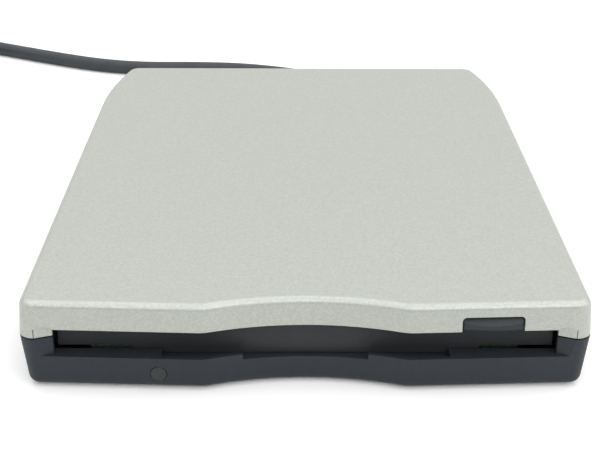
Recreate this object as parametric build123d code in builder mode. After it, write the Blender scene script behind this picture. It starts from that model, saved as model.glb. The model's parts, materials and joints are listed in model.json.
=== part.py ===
"""External 3.5-inch floppy disk drive with a captive data lead and plug.

Millimetres. The origin is on the plane that the feet stand on, at the centre of the case;
+X is the right-hand side seen from the disk slot, +Y points to the rear, +Z points up.
The drive is modelled with no disk in it: cradle up, eject button home, heads apart.
"""

import os
from math import atan2, cos, degrees, hypot, pi, radians, sin, tan

from build123d import *

os.makedirs("parts", exist_ok=True)

# ------------------------------------------------------------------ driving dimensions

# Case: a dark tray and a painted cover that meet at a split line, 104 x 140 x 18 over all.
# Its outer size follows from what it holds and the room around that.
SIDE_ROOM = 3.9  # from the chassis' side to the widest point of the case
REAR_ROOM = 5.6  # from the chassis' rear to the rear of the case
LID_TO_ROOF = 0.8
SPLIT_HEIGHT = 10.7  # top edge of the tray above the feet
SPLIT_GAP = 0.3  # shadow line between tray and cover
CASE_WALL = 1.6
TRAY_FLOOR = 1.7
TRAY_DRAFT = 6.0  # degrees, the tray narrows downwards
COVER_DRAFT = 4.5  # degrees, the cover narrows upwards
TRAY_EDGE_R = 2.0
COVER_EDGE_R = 1.3
RIB_PITCH = 36.0  # of the ribs inside the cover's sides
FRONT_PEAK_X = 18.3  # the two foremost points of the front, beside the scallop
FRONT_SWEEP = 1.5  # how far the front corners stand back from the peaks
SCALLOP_DEPTH = 3.1
PEAK_BLEND_R = 6.0
FRONT_CORNER_R = 3.0
REAR_CURVE_LENGTH = 30.0  # last stretch of each side, where the plan narrows
REAR_INSET = 4.4
REAR_CORNER_R = 3.5
TONGUE_THICK = 0.6
TONGUE_RISE = 1.2
TONGUE_GAP = 0.2

# Feet
FOOT_RADIUS = 4.0
FOOT_PROUD = 0.4
FOOT_RECESS = 0.5
FOOT_INSET_X = 12.0  # foot centre from the side of the case
FOOT_INSET_Y = 17.0  # foot centre from the front and the rear

# Disk slot in the front
MOUTH_SIDE_GAP = 0.8  # from the disk's side to the end of the mouth
SILL_UNDER_DISK = 0.1  # the sill lies this much above the raised cradle's flanges
SILL_INNER_X = 26.3  # the flat sill runs from here out under the bevels beside the mouth
SILL_DEPTH = 2.6
SILL_TO_DOOR = 0.5  # gap behind the sill's rear edge
LIP_THICK = 0.9
SHELF_UNDER_DOOR = 0.2  # the pocket's floor below the door's middle
SHELF_THICK = 0.4
SHELF_BEHIND_DOOR = 1.8
THUMB_NOTCH_HALF = 11.4
THUMB_NOTCH_DROP = 1.1
SKIRT_OVER_CRADLE = 1.0  # lower edge of the cover above the raised cradle
JAMB_FROM_SIDE = 3.0  # bevels beside the mouth start here and deepen towards it
JAMB_DEPTH = 1.3
JAMB_BACKING = 1.0  # wall left behind the bevels
JAMB_ABOVE_SKIRT = 0.4

# Disk and how it is carried
DISK_WIDTH = 90.0
DISK_LENGTH = 94.0
DISK_THICK = 3.3
DISK_HUB_SETBACK = 44.5  # hub centre behind the disk's leading edge
DISK_SEAT_HEIGHT = 4.85  # underside of a loaded disk
DISK_DROP = 2.4
DISK_SIDE_GAP = 0.6
DISK_TOP_GAP = 1.0
DISK_BEHIND_DOOR = 1.8

# Drive unit
CHASSIS_STANDOFF = 0.4
CHASSIS_SHEET = 0.6
LID_SHEET = 0.4
SLIDER_SHEET = 0.5
CRADLE_SHEET = 0.5
CRADLE_TO_SLIDER = 0.5
SLIDER_TO_CHASSIS = 0.4
SPRING_SPACE = 1.2  # above the slider's plate
TRIGGER_OVER_CRADLE = 0.5
SLIDER_OVER_TRIGGER = 0.5
EJECT_TRAVEL = 4.5
PIN_RADIUS = 0.8
PIN_GAP = 0.05  # radial clearance of every pin, shaft and rod
PIN_FRONT_SETBACK = 25.0  # front cradle pins behind the case front
PIN_PITCH = 60.0

# Dust door
DOOR_SETBACK = 5.1  # door face behind the foremost points of the case
DOOR_THICK = 1.0
DOOR_END_GAP = 0.4
DOOR_AXIS_OVER_CRADLE = 0.6
DOOR_BARREL_R = 0.7
DOOR_PIN_R = 0.5
DOOR_END_BOTTOM = 7.55
DOOR_MID_BOTTOM = 6.0
DOOR_STEP_INNER = 31.3
DOOR_STEP_RUN = 0.8

# Eject button
NOTCH_LEFT = 28.0
NOTCH_WIDTH = 11.35
NOTCH_OVER_SLIDER = 1.6
NOTCH_CORNER_R = 0.8
BUTTON_GAP = 0.2
BUTTON_DEPTH = 3.3
BUTTON_CHAMFER = 1.6
BUTTON_CORNER_R = 0.6
BUTTON_BOW = 0.5  # how far its front bulges forward of its ends

# Activity light
LIGHT_X = -26.8
LIGHT_HEIGHT = 3.75
LENS_RADIUS = 1.55
LED_RADIUS = 1.4

# Spindle motor
ROTOR_RADIUS = 19.6
ROTOR_SHEET = 0.5
MAGNET_THICK = 1.8
STATOR_GAP = 1.0  # air between the coils and the magnet
STATOR_INNER_R = 6.7
CHUCK_RADIUS = 10.9
CHUCK_HEIGHT = 5.2
CENTRE_PIN_R = 2.0
SHAFT_RADIUS = 1.2
DRIVE_PIN_R = 1.0
DRIVE_PIN_ORBIT = 9.6
STATOR_POLES = 9

# Head carriage
HEAD_TRAVEL = 14.8  # outermost to innermost track
HEAD_TO_DISK_REAR = 5.0  # heads from the loaded disk's leading edge, on the outermost track
ARM_LENGTH = 24.0  # upper arm, pivot to head
ARM_LIFT = 10.5  # degrees
ARM_PIVOT_HEIGHT = 9.75
ROD_RADIUS = 0.8
ROD_HEIGHT = 4.1
LEFT_ROD_X = -9.0
RIGHT_ROD_X = 10.0
SCREW_RADIUS = 1.25
SCREW_X = -15.0
SCREW_HEIGHT = 8.2
STEPPER_RADIUS = 5.1
PIVOT_TO_STEPPER = 5.0
STEPPER_LENGTH = 8.9

# Trigger lever that lets the slider go when a disk arrives
TRIGGER_FROM_SIDE = 7.1  # lever's pin in from the slider's left side
TRIGGER_REACH = 24.0
TRIGGER_REST = -62.0  # degrees from +X, direction of the lever at rest
TRIGGER_THICK = 0.5
TRIGGER_PIN_PROUD = 0.2
TRIGGER_PIN_R = 0.8
TRIGGER_HUB_R = 2.6

# Boards
BOARD_THICK = 0.6
BRIDGE_THICK = 0.8
BOARD_FROM_CRADLE = 5.0  # control board's sides in from the cradle's
BOARD_SCREW_FROM_SIDE = 2.6
BRIDGE_FROM_ROD = 4.0  # bridge board's left side from the right guide rod
BRIDGE_FROM_SIDE = 0.5  # and its right side in from the narrowed chassis
RIBBON_FROM_LEFT = 4.0  # ribbon in from the bridge board's sides
RIBBON_FROM_RIGHT = 5.5
BRIDGE_LENGTH = 24.0
BRIDGE_FROM_REAR = 2.4  # from the chassis' rear
CHIP_X = 31.5
CHIP_HEIGHT = 0.6
BRIDGE_CHIP_SIZE = 8.0
SWITCH_X = 31.0
SWITCH_PITCH = 6.0

# Captive lead
CORD_RADIUS = 2.1
GLAND_X = 10.0
GLAND_HEIGHT = 7.0
GLAND_LENGTH = 10.0
GLAND_NECK_R = 3.0
GLAND_FLANGE_R = 4.2
GLAND_COLLAR_R = 3.6
FLOOR_GAP = 0.05  # the cord's underside above the floor
COIL_CENTRE = (-138.0, 131.0)
COIL_MEAN_R = 23.0
COIL_TURNS_WIDE = 2
COIL_TURNS_HIGH = 2
JOIN_DEGREES = 65.0  # where the cord runs into the coil, seen from the coil's centre
PLUG_WIDTH = 15.6
PLUG_THICK = 8.0
PLUG_BODY_LENGTH = 18.0
PLUG_RELIEF_LENGTH = 6.0
PLUG_SHELL_WIDTH = 12.0
PLUG_SHELL_THICK = 4.5
PLUG_SHELL_LENGTH = 12.0
PLUG_SHEET = 0.3

# Fasteners
CASE_SCREW_R = 1.25
CASE_SCREW_FROM_SIDE = 11.5
CASE_SCREW_FROM_REAR = 7.6
CASE_SCREW_HEAD_R = 2.3
COUNTERBORE_R = 2.5
COUNTERBORE_DEPTH = 3.2
BOSS_RADIUS = 3.3
CHASSIS_SCREW_R = 0.8
FRONT_SCREW_FROM_SIDE = 4.6  # chassis screws in from the control board's sides
REAR_SCREW_FROM_SIDE = 8.0  # and from those of the narrowed chassis
STANDOFF_RADIUS = 2.5
BOARD_SCREW_R = 0.7

# ------------------------------------------------------------------ derived places

cover_bottom = SPLIT_HEIGHT + SPLIT_GAP
tray_floor_top = FOOT_PROUD + TRAY_FLOOR

# Across: disk, cradle, slider, chassis, case
cradle_half = DISK_WIDTH / 2 + DISK_SIDE_GAP  # inside of the cradle's walls
cradle_outer = cradle_half + CRADLE_SHEET
slider_half = cradle_outer + CRADLE_TO_SLIDER
slider_outer = slider_half + SLIDER_SHEET
chassis_half = slider_outer + SLIDER_TO_CHASSIS
chassis_outer = chassis_half + CHASSIS_SHEET
half_width = chassis_outer + SIDE_ROOM
mouth_half = DISK_WIDTH / 2 + MOUTH_SIDE_GAP
door_half = mouth_half - DOOR_END_GAP
door_step_outer = DOOR_STEP_INNER + DOOR_STEP_RUN
jamb_x = half_width - JAMB_FROM_SIDE
case_screw_x = half_width - CASE_SCREW_FROM_SIDE

# Upwards: tray, chassis, disk, cradle, trigger lever, slider, lid, roof
chassis_bottom = tray_floor_top + CHASSIS_STANDOFF
chassis_floor_top = chassis_bottom + CHASSIS_SHEET
cradle_floor = DISK_SEAT_HEIGHT + DISK_DROP - 0.25  # flange top, cradle up
cradle_ceiling = cradle_floor + DISK_THICK + DISK_TOP_GAP
cradle_top = cradle_ceiling + CRADLE_SHEET
trigger_bottom = cradle_top + TRIGGER_OVER_CRADLE
trigger_pin_top = trigger_bottom + TRIGGER_THICK + TRIGGER_PIN_PROUD
slider_bottom = trigger_pin_top + SLIDER_OVER_TRIGGER
slider_top = slider_bottom + SLIDER_SHEET
chassis_top = slider_top + SPRING_SPACE
lid_top = chassis_top + LID_SHEET
roof = lid_top + LID_TO_ROOF
case_height = roof + CASE_WALL
sill_height = cradle_floor + SILL_UNDER_DISK
skirt_height = cradle_top + SKIRT_OVER_CRADLE
door_axis_height = cradle_top + DOOR_AXIS_OVER_CRADLE
shelf_height = DOOR_MID_BOTTOM - SHELF_UNDER_DOOR
notch_top = slider_top + NOTCH_OVER_SLIDER
notch_right = NOTCH_LEFT + NOTCH_WIDTH

# Lengthways: door, disk, head arm, stepper, rear wall
rear_of_disk = ARM_LENGTH - HEAD_TO_DISK_REAR + PIVOT_TO_STEPPER + STEPPER_LENGTH + CHASSIS_SHEET
case_length = DOOR_SETBACK + DISK_BEHIND_DOOR + DISK_LENGTH + rear_of_disk + REAR_ROOM
front = -case_length / 2
rear = case_length / 2
door_face = front + DOOR_SETBACK
door_axis_y = door_face + DOOR_THICK / 2
disk_front = door_face + DISK_BEHIND_DOOR
disk_rear = disk_front + DISK_LENGTH
spindle_y = disk_rear - DISK_HUB_SETBACK
head_y = disk_rear - HEAD_TO_DISK_REAR

chassis_front = disk_front + 1.1
chassis_rear = disk_rear + rear_of_disk
wall_rear = chassis_rear - 14.4  # side walls of the chassis end here
tail_half = case_screw_x - BOSS_RADIUS - 1.2  # the chassis narrows here to pass the rear bosses

cradle_front = door_face + 9.3
cradle_rear = disk_rear - 5.9
pin_height = (cradle_floor + cradle_ceiling) / 2
pin_places = [front + PIN_FRONT_SETBACK, front + PIN_FRONT_SETBACK + PIN_PITCH]

pivot_y = head_y + ARM_LENGTH
carriage_y = (pivot_y - 2.3, pivot_y + 4.5)
rod_front = carriage_y[0] - HEAD_TRAVEL - 1.5
rod_rear = carriage_y[1] + 2.9
stepper_front = pivot_y + PIVOT_TO_STEPPER

board_top = chassis_floor_top + BOARD_THICK
board_front = chassis_front + 4.0
board_rear = spindle_y + ROTOR_RADIUS + 0.6
bridge_bottom = chassis_floor_top + 0.8
bridge_top = bridge_bottom + BRIDGE_THICK
bridge_left, bridge_right = RIGHT_ROD_X + BRIDGE_FROM_ROD, tail_half - BRIDGE_FROM_SIDE
board_half = cradle_half - BOARD_FROM_CRADLE
bridge_rear = chassis_rear - BRIDGE_FROM_REAR
bridge_front = bridge_rear - BRIDGE_LENGTH

boss_y = rear - CASE_SCREW_FROM_REAR
trigger_x = TRIGGER_FROM_SIDE - slider_outer
trigger_y = disk_rear + 9.1


# ------------------------------------------------------------------ shared helpers


def save(builder, name):
    """Label the finished piece with its node's name and write its STEP file."""
    builder.part.label = name
    export_step(builder.part, f"parts/{name}.step")


def case_outline(inset=0.0):
    """Plan of the case at the split line, moved inwards by inset."""
    corner = (half_width, front + FRONT_SWEEP)
    shoulder = (half_width, rear - REAR_CURVE_LENGTH)
    tail = (half_width - REAR_INSET, rear)
    with BuildSketch() as plan:
        with BuildLine():
            Line((FRONT_PEAK_X, front), corner)
            Line(corner, shoulder)
            TangentArc(shoulder, tail, tangent=(0, 1))
            Line(tail, (0, rear))
            mirror(about=Plane.YZ)
            ThreePointArc((-FRONT_PEAK_X, front), (0, front + SCALLOP_DEPTH), (FRONT_PEAK_X, front))
        make_face()
        peaks = plan.vertices().group_by(Axis.Y)[0]
        fillet(peaks, PEAK_BLEND_R)
        front_corners = plan.vertices().filter_by(lambda v: abs(abs(v.X) - corner[0]) < 1e-6 and v.Y < 0)
        fillet(front_corners.group_by(Axis.Y)[0], FRONT_CORNER_R)
        rear_corners = plan.vertices().filter_by(lambda v: abs(abs(v.X) - tail[0]) < 1e-6 and v.Y > 0)
        fillet(rear_corners.group_by(Axis.Y)[-1], REAR_CORNER_R)
        if inset:
            offset(amount=-inset, mode=Mode.REPLACE)
    return plan.sketch


def block(x, y, z, mode=Mode.ADD):
    """Box given by its low and high X, Y and Z."""
    with Locations(((x[0] + x[1]) / 2, (y[0] + y[1]) / 2, (z[0] + z[1]) / 2)):
        Box(x[1] - x[0], y[1] - y[0], z[1] - z[0], mode=mode)


def both_sides(x):
    """The X span and its mirror image."""
    return [(x[0], x[1]), (-x[1], -x[0])]


def post(centre, radius, z, mode=Mode.ADD):
    """Upright cylinder at (x, y) between two heights."""
    with BuildSketch(Plane.XY.offset(z[0])) as profile:
        with Locations(centre):
            Circle(radius)
    extrude(profile.sketch, amount=z[1] - z[0], mode=mode)


def bar_x(y, z, radius, x, mode=Mode.ADD):
    """Round bar along X between two X values."""
    with BuildSketch(Plane((x[0], y, z), x_dir=(0, 1, 0), z_dir=(1, 0, 0))) as profile:
        Circle(radius)
    extrude(profile.sketch, amount=x[1] - x[0], mode=mode)


def bar_y(x, z, radius, y, mode=Mode.ADD):
    """Round bar along Y between two Y values."""
    with BuildSketch(Plane((x, y[0], z), x_dir=(1, 0, 0), z_dir=(0, 1, 0))) as profile:
        Circle(radius)
    extrude(profile.sketch, amount=y[1] - y[0], mode=mode)


def front_face(x):
    """Y of the case's front at the split line, outboard of the peaks."""
    return front + FRONT_SWEEP * (abs(x) - FRONT_PEAK_X) / (half_width - FRONT_PEAK_X)


def jamb_bevels(z):
    """Bevels on the mouth's ends: from jamb_x the face falls back towards the mouth.
    The wall behind each is made up first, so that it stays whole."""
    face = front_face(jamb_x)
    backing = (face + CASE_WALL / 2, face + JAMB_DEPTH + JAMB_BACKING)
    for x in both_sides((mouth_half, jamb_x)):
        block(x, backing, z)
    for side in (-1, 1):
        with BuildSketch(Plane.XY.offset(z[0])) as profile:
            with BuildLine():
                Polyline(
                    (side * jamb_x, face),
                    (side * mouth_half, front_face(mouth_half) + JAMB_DEPTH),
                    (side * mouth_half, front - 1),
                    (side * jamb_x, front - 1),
                    close=True,
                )
            make_face()
        extrude(profile.sketch, amount=z[1] - z[0], mode=Mode.SUBTRACT)


def side_wall_cut(places, half_gap, drop, run, x):
    """Slots through a wall that faces X: each runs down by drop while it runs back by run."""
    length = hypot(run, drop)
    slope = degrees(atan2(drop, run))
    for y in places:
        middle = (x, y + run / 2, pin_height - drop / 2)
        with BuildSketch(Plane(middle, x_dir=(0, 1, 0), z_dir=(1, 0, 0))) as profile:
            with Locations(Rot(0, 0, -slope)):
                SlotCenterToCenter(length, 2 * half_gap)
        extrude(profile.sketch, amount=CHASSIS_SHEET * 2, both=True, mode=Mode.SUBTRACT)


def coil_spring(plane, length, mean_r, wire_r):
    """Closed-wound coil along the plane's Y axis: touching wire sections on a thin sleeve."""
    turns = int(length / (2 * wire_r))
    pitch = length / turns
    with BuildSketch(plane) as half_section:
        with BuildLine():
            for turn in range(turns):
                start, end = turn * pitch, (turn + 1) * pitch
                middle = (mean_r + wire_r, (start + end) / 2)
                ThreePointArc((mean_r, start), middle, (mean_r, end))
            Line((mean_r, length), (mean_r - wire_r, length))
            Line((mean_r - wire_r, length), (mean_r - wire_r, 0))
            Line((mean_r - wire_r, 0), (mean_r, 0))
        make_face()
    revolve(half_section.sketch, axis=Axis(plane.origin, plane.y_dir))


# ------------------------------------------------------------------ tray


def tray_shell():
    """Open tray with drafted walls, rounded lower edge and a tongue that locates the cover."""
    depth = SPLIT_HEIGHT - FOOT_PROUD
    with BuildSketch(Plane.XY.offset(SPLIT_HEIGHT)) as profile:
        add(case_outline())
    extrude(profile.sketch, amount=-depth, taper=TRAY_DRAFT)
    underside = base_shell.faces().sort_by(Axis.Z)[0]
    fillet(underside.edges(), TRAY_EDGE_R)
    with BuildSketch(Plane.XY.offset(SPLIT_HEIGHT)) as profile:
        add(case_outline(CASE_WALL))
    extrude(profile.sketch, amount=tray_floor_top - SPLIT_HEIGHT, taper=TRAY_DRAFT, mode=Mode.SUBTRACT)
    tongue_face = CASE_WALL + TONGUE_GAP
    with BuildSketch(Plane.XY.offset(SPLIT_HEIGHT - TONGUE_RISE)) as profile:
        add(case_outline(CASE_WALL - 0.4))
        add(case_outline(tongue_face + TONGUE_THICK), mode=Mode.SUBTRACT)
    extrude(profile.sketch, amount=TONGUE_RISE)
    with BuildSketch(Plane.XY.offset(SPLIT_HEIGHT)) as profile:
        add(case_outline(tongue_face))
        add(case_outline(tongue_face + TONGUE_THICK), mode=Mode.SUBTRACT)
    extrude(profile.sketch, amount=TONGUE_RISE)
    # the tongue stops short of the cover's backing beside the mouth
    for x in both_sides((mouth_half, jamb_x + TONGUE_GAP)):
        block(x, (front, front + DOOR_SETBACK), (SPLIT_HEIGHT, SPLIT_HEIGHT + TONGUE_RISE), Mode.SUBTRACT)


def tray_mouth():
    """Lower half of the disk slot: sill at the ends, thin lip with a pocket, thumb notch."""
    ahead, behind = front - 5, front + FRONT_SWEEP + SILL_DEPTH + 4
    block((-mouth_half, mouth_half), (ahead, behind), (sill_height, case_height), Mode.SUBTRACT)
    sill_back = door_face - SILL_TO_DOOR
    for x in both_sides((SILL_INNER_X, jamb_x)):
        block(x, (sill_back - SILL_DEPTH, sill_back), (sill_height - CASE_WALL, sill_height))
    with BuildSketch(Plane.XY.offset(shelf_height - SHELF_THICK)) as profile:
        add(case_outline(LIP_THICK + (SPLIT_HEIGHT - sill_height) * tan(radians(TRAY_DRAFT))))
        with Locations((0, front)):
            Rectangle(2 * SILL_INNER_X, 2 * (DOOR_SETBACK + SHELF_BEHIND_DOOR), mode=Mode.INTERSECT)
    extrude(profile.sketch, amount=sill_height - shelf_height + SHELF_THICK, mode=Mode.SUBTRACT)
    extrude(profile.sketch, amount=SHELF_THICK)
    notch_floor = sill_height - THUMB_NOTCH_DROP
    with BuildSketch(Plane((0, ahead, 0), x_dir=(1, 0, 0), z_dir=(0, -1, 0))) as profile:
        with BuildLine():
            Polyline(
                (-THUMB_NOTCH_HALF - 0.2, sill_height + 1),
                (-THUMB_NOTCH_HALF, notch_floor),
                (THUMB_NOTCH_HALF, notch_floor),
                (THUMB_NOTCH_HALF + 0.2, sill_height + 1),
                close=True,
            )
        make_face()
    extrude(profile.sketch, amount=-(behind - ahead), mode=Mode.SUBTRACT)
    jamb_bevels((sill_height, SPLIT_HEIGHT))


chassis_screw_places = [(sx * (board_half - FRONT_SCREW_FROM_SIDE), chassis_front + 8) for sx in (-1, 1)]
chassis_screw_places += [(sx * (tail_half - REAR_SCREW_FROM_SIDE), chassis_rear - 4) for sx in (-1, 1)]
case_screw_places = [(sx * case_screw_x, boss_y) for sx in (-1, 1)]
foot_rows = (front + FOOT_INSET_Y, rear - FOOT_INSET_Y)
foot_places = [(sx * (half_width - FOOT_INSET_X), y) for sx in (-1, 1) for y in foot_rows]
boss_joint = GLAND_HEIGHT  # height where the cover's bosses stand on the tray's
counterbore_top = FOOT_PROUD + COUNTERBORE_DEPTH

with BuildPart() as base_shell:
    tray_shell()
    tray_mouth()
    for place in chassis_screw_places:
        post(place, STANDOFF_RADIUS, (tray_floor_top, chassis_bottom))
        post(place, CHASSIS_SCREW_R, (chassis_bottom - 1.4, chassis_bottom), Mode.SUBTRACT)
    for place in case_screw_places:
        post(place, BOSS_RADIUS, (tray_floor_top, boss_joint))
        post(place, COUNTERBORE_R, (FOOT_PROUD, counterbore_top), Mode.SUBTRACT)
        post(place, CASE_SCREW_R + 0.15, (counterbore_top, boss_joint), Mode.SUBTRACT)
    for place in foot_places:
        post(place, FOOT_RADIUS + 0.1, (FOOT_PROUD, FOOT_PROUD + FOOT_RECESS), Mode.SUBTRACT)
    bar_y(LIGHT_X, LIGHT_HEIGHT, LENS_RADIUS + PIN_GAP, (front - 1, front + 8), Mode.SUBTRACT)
    bar_y(GLAND_X, GLAND_HEIGHT, GLAND_NECK_R + PIN_GAP, (rear - 8, rear + 1), Mode.SUBTRACT)
save(base_shell, "base_shell")

# ------------------------------------------------------------------ cover


def cover_shell():
    """Shallow painted lid: drafted sides, rounded top edge, open underneath."""
    with BuildSketch(Plane.XY.offset(cover_bottom)) as profile:
        add(case_outline())
    extrude(profile.sketch, amount=case_height - cover_bottom, taper=COVER_DRAFT)
    top_face = top_cover.faces().sort_by(Axis.Z)[-1]
    fillet(top_face.edges(), COVER_EDGE_R)
    with BuildSketch(Plane.XY.offset(cover_bottom)) as profile:
        add(case_outline(CASE_WALL))
    extrude(profile.sketch, amount=roof - cover_bottom, taper=COVER_DRAFT, mode=Mode.SUBTRACT)


def cover_front():
    """Upper half of the disk slot, the eject button's notch and the bevels beside the slot."""
    ahead, behind = front - 5, front + DOOR_SETBACK + 3
    block((-mouth_half, mouth_half), (ahead, behind), (0, skirt_height), Mode.SUBTRACT)
    middle = NOTCH_LEFT + NOTCH_WIDTH / 2
    height = notch_top - skirt_height + 2
    notch_plane = Plane((middle, ahead, notch_top - height / 2), x_dir=(1, 0, 0), z_dir=(0, -1, 0))
    with BuildSketch(notch_plane) as profile:
        RectangleRounded(NOTCH_WIDTH, height, NOTCH_CORNER_R)
    extrude(profile.sketch, amount=-(behind - ahead), mode=Mode.SUBTRACT)
    jamb_bevels((cover_bottom, skirt_height + JAMB_ABOVE_SKIRT))


hook_inner = chassis_outer + 0.3
hook_outer = half_width - CASE_WALL - TONGUE_GAP - TONGUE_THICK - 0.1
tongue_root = SPLIT_HEIGHT - TONGUE_RISE
tongue_top = SPLIT_HEIGHT + TONGUE_RISE

with BuildPart() as top_cover:
    cover_shell()
    cover_front()
    for place in case_screw_places:
        post(place, BOSS_RADIUS, (boss_joint, roof + 0.5))
        post(place, CASE_SCREW_R, (boss_joint, roof - 2), Mode.SUBTRACT)
    for x in both_sides((half_width - CASE_WALL - 1.0, half_width - CASE_WALL + 0.5)):
        for y in (-RIB_PITCH, 0, RIB_PITCH):
            block(x, (y - 1, y + 1), (tongue_top, roof + 0.5))
    for x in both_sides((hook_inner, hook_outer)):
        block(x, (front + 12, front + 18), (tongue_root - 1.0, roof + 0.5))
    for x in both_sides((hook_outer, hook_outer + 0.5)):
        block(x, (front + 12, front + 18), (tongue_root - 1.0, tongue_root - 0.1))
    for x in both_sides((27, 33)):
        for y in (front + 40, front + 90):
            block(x, (y - 3, y + 3), (lid_top, roof + 0.5))
save(top_cover, "top_cover")

# ------------------------------------------------------------------ feet and fasteners

with BuildPart() as rubber_feet:
    for place in foot_places:
        post(place, FOOT_RADIUS, (0, FOOT_PROUD + FOOT_RECESS))
    soles = rubber_feet.faces().filter_by(Axis.Z).group_by(Axis.Z)[0]
    fillet(soles.edges(), FOOT_PROUD / 2)
save(rubber_feet, "rubber_feet")


def screw(place, seat, shank_r, length, head_r, head_thick, up=True):
    """Pan-head screw: shank from the seat along +Z or -Z, cross recess in the head."""
    way = 1 if up else -1
    shank = sorted((seat, seat + way * length))
    head = sorted((seat, seat - way * head_thick))
    post(place, shank_r, shank)
    post(place, head_r, head)
    outer = head[0] if up else head[1]
    recess = sorted((outer, outer + way * head_thick * 0.6))
    for width, depth in ((head_r * 1.1, head_r * 0.28), (head_r * 0.28, head_r * 1.1)):
        x, y = place
        block((x - width / 2, x + width / 2), (y - depth / 2, y + depth / 2), recess, Mode.SUBTRACT)


with BuildPart() as case_screws:
    for place in case_screw_places:
        screw(place, counterbore_top, CASE_SCREW_R, 9.0, CASE_SCREW_HEAD_R, 1.5)
save(case_screws, "case_screws")

with BuildPart() as chassis_screws:
    for place in chassis_screw_places:
        screw(place, chassis_floor_top, CHASSIS_SCREW_R, 1.9, 1.7, 0.7, up=False)
save(chassis_screws, "chassis_screws")

# ------------------------------------------------------------------ chassis

bridge_posts = [(bridge_left + 2.5, bridge_front + 7.5)]
bridge_posts += [(bridge_right - 2, y) for y in (bridge_front + 3, bridge_rear - 3)]
board_screw_x = board_half - BOARD_SCREW_FROM_SIDE
board_posts = [(sx * board_screw_x, board_front + 12) for sx in (-1, 1)] + [(-board_screw_x, board_rear - 4)]
screw_bracket_y = pivot_y - HEAD_TRAVEL


def chassis_walls():
    """Folded sheet tray: floor, side walls with door ears, rear wall behind the stepper."""
    with BuildSketch(Plane.XY.offset(chassis_bottom)) as profile:
        with BuildLine():
            Polyline(
                (-chassis_outer, chassis_front),
                (chassis_outer, chassis_front),
                (chassis_outer, wall_rear),
                (tail_half, wall_rear + 5),
                (tail_half, chassis_rear),
                (-tail_half, chassis_rear),
                (-tail_half, wall_rear + 5),
                (-chassis_outer, wall_rear),
                close=True,
            )
        make_face()
    extrude(profile.sketch, amount=CHASSIS_SHEET)
    for x in both_sides((chassis_half, chassis_outer)):
        block(x, (chassis_front, wall_rear), (chassis_bottom, chassis_top))
        block(x, (door_face - 1.0, chassis_front), (door_axis_height - 1.5, door_axis_height + 1.5))
    block((-tail_half, 4.0), (chassis_rear - CHASSIS_SHEET, chassis_rear), (chassis_bottom, chassis_top))


def chassis_brackets():
    """Lanced tabs: slider runners, rod supports, lead screw bearing, spring anchors, board posts."""
    for x in both_sides((cradle_outer + 0.3, chassis_half)):
        for y in (pin_places[0] + 8, pin_places[1] - 10):
            block(x, (y - 2, y + 2), (4.4, 4.9))
    for x in (LEFT_ROD_X, RIGHT_ROD_X):
        for y in (rod_front, rod_rear - 0.8):
            block((x - 1.2, x + 1.2), (y, y + 0.8), (chassis_floor_top, ROD_HEIGHT + 1.2))
            bar_y(x, ROD_HEIGHT, ROD_RADIUS, (y, y + 0.8), Mode.SUBTRACT)
    bracket = (screw_bracket_y, screw_bracket_y + 0.8)
    block((SCREW_X - 2, SCREW_X + 2), bracket, (chassis_floor_top, SCREW_HEIGHT + 1.6))
    bar_y(SCREW_X, SCREW_HEIGHT, 0.6 + PIN_GAP, bracket, Mode.SUBTRACT)
    for x in both_sides((chassis_half - 4.5, chassis_half)):
        block(x, (chassis_front + 1, chassis_front + 1.6), (slider_bottom, chassis_top))
    for place in bridge_posts:
        post(place, 1.4, (chassis_floor_top, bridge_bottom))
    post((trigger_x, trigger_y), 1.5, (chassis_floor_top, trigger_bottom - 0.1))
    post((trigger_x, trigger_y), TRIGGER_PIN_R, (trigger_bottom - 0.1, trigger_pin_top))


def chassis_openings():
    """Motor hole, cam slots for the cradle's pins, door pivots, screw holes and light notch."""
    post((0, spindle_y), ROTOR_RADIUS + 2.4, (chassis_bottom, chassis_floor_top), Mode.SUBTRACT)
    for x in (-chassis_half, chassis_half):
        for y in pin_places:
            middle = (x, y, pin_height - DISK_DROP / 2)
            with BuildSketch(Plane(middle, x_dir=(0, 0, 1), z_dir=(1, 0, 0))) as profile:
                SlotCenterToCenter(DISK_DROP, 2 * (PIN_RADIUS + PIN_GAP))
            extrude(profile.sketch, amount=2 * CHASSIS_SHEET, both=True, mode=Mode.SUBTRACT)
    across = (-chassis_outer - 1, chassis_outer + 1)
    bar_x(door_axis_y, door_axis_height, DOOR_PIN_R + PIN_GAP, across, Mode.SUBTRACT)
    for place in chassis_screw_places:
        post(place, CHASSIS_SCREW_R + 0.2, (chassis_bottom, chassis_floor_top), Mode.SUBTRACT)
    for place in bridge_posts:
        post(place, BOARD_SCREW_R, (chassis_floor_top, bridge_bottom), Mode.SUBTRACT)
    for place in board_posts:
        post(place, BOARD_SCREW_R, (chassis_bottom, chassis_floor_top), Mode.SUBTRACT)
    light = (LIGHT_X - 2.5, LIGHT_X + 2.5)
    block(light, (chassis_front - 1, board_front), (chassis_bottom, chassis_floor_top), Mode.SUBTRACT)


with BuildPart() as drive_chassis:
    chassis_walls()
    chassis_brackets()
    chassis_openings()
save(drive_chassis, "drive_chassis")

with BuildPart() as chassis_lid:
    lid_front = chassis_front + 1
    block((-chassis_outer, chassis_outer), (lid_front, wall_rear), (chassis_top, lid_top))
    block((-tail_half, tail_half), (wall_rear, chassis_rear), (chassis_top, lid_top))
    with BuildSketch(Plane.XY.offset(chassis_top)):
        with Locations((0, spindle_y)):
            RectangleRounded(40, 30, 4)
    extrude(amount=LID_SHEET, mode=Mode.SUBTRACT)
save(chassis_lid, "chassis_lid")

# ------------------------------------------------------------------ spindle motor

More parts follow.
